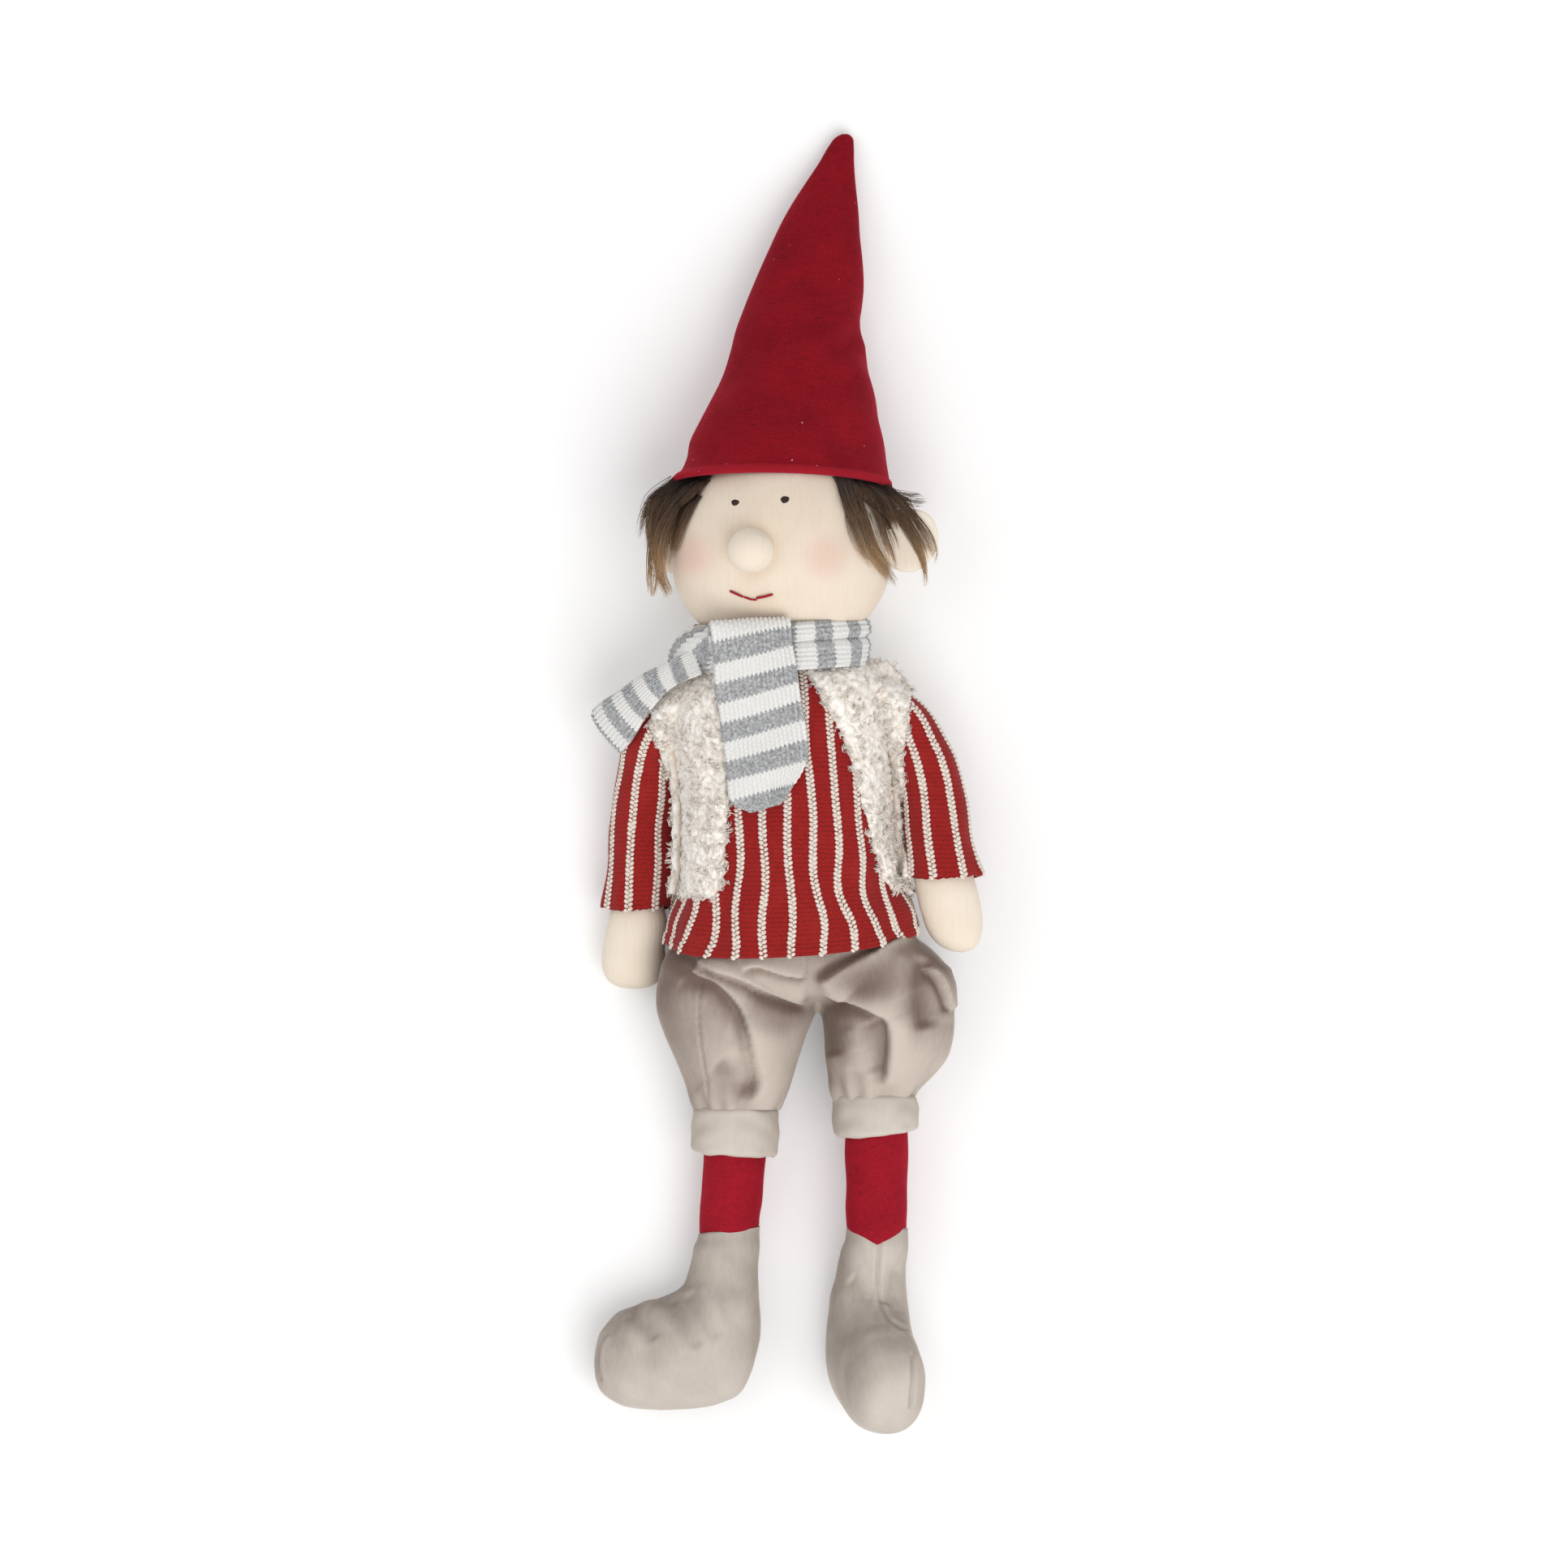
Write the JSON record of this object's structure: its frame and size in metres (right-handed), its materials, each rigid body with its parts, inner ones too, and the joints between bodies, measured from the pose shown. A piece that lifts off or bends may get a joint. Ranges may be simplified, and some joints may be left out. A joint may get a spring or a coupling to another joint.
{
  "type": "elf figurine",
  "caption": "Soft stuffed cloth elf doll with a tall pointed felt hat, round nose, fur hair, knitted scarf and striped sweater, fleece vest, puffed velvet trousers and boots, lying on its back.",
  "frame": {"origin": "centre of the doll's bounding box, on the surface that it lies on", "axes": "+Y towards the tip of the hat, +Z out of the face, +X towards the doll's left arm"},
  "size_m": [0.1801, 0.5992, 0.1014],
  "materials": {
    "hat_felt": "deep red felt, mottled, soft sheen",
    "skin_jersey": "cream fine jersey knit over stuffing",
    "eye_paint": "dark brown satin dots",
    "mouth_thread": "red embroidery thread",
    "hair_fur": "long pile fake fur, dark brown with golden tips",
    "scarf_knit": "thick rib knit, white and heather grey stripes",
    "vest_fleece": "beige curly sherpa fleece",
    "sweater_knit": "brick red knit with cream stripes",
    "trouser_velvet": "taupe crushed velvet",
    "stocking_felt": "red felt, matt",
    "boot_velvet": "light taupe velvet"
  },
  "bodies": {
    "root": {"hat": "hat_felt", "head": "skin_jersey", "nose": "skin_jersey", "ear_left": "skin_jersey", "ear_right": "skin_jersey", "eye_left": "eye_paint", "eye_right": "eye_paint", "mouth": "mouth_thread", "hair": "hair_fur", "scarf": "scarf_knit", "vest": "vest_fleece", "sweater": "sweater_knit", "torso": "skin_jersey", "arm_left": "skin_jersey", "arm_right": "skin_jersey", "trousers": "trouser_velvet", "trouser_cuff_left": "trouser_velvet", "trouser_cuff_right": "trouser_velvet", "leg_left": "stocking_felt", "leg_right": "stocking_felt", "boot_left": "boot_velvet", "boot_right": "boot_velvet"}
  },
  "joints": []
}
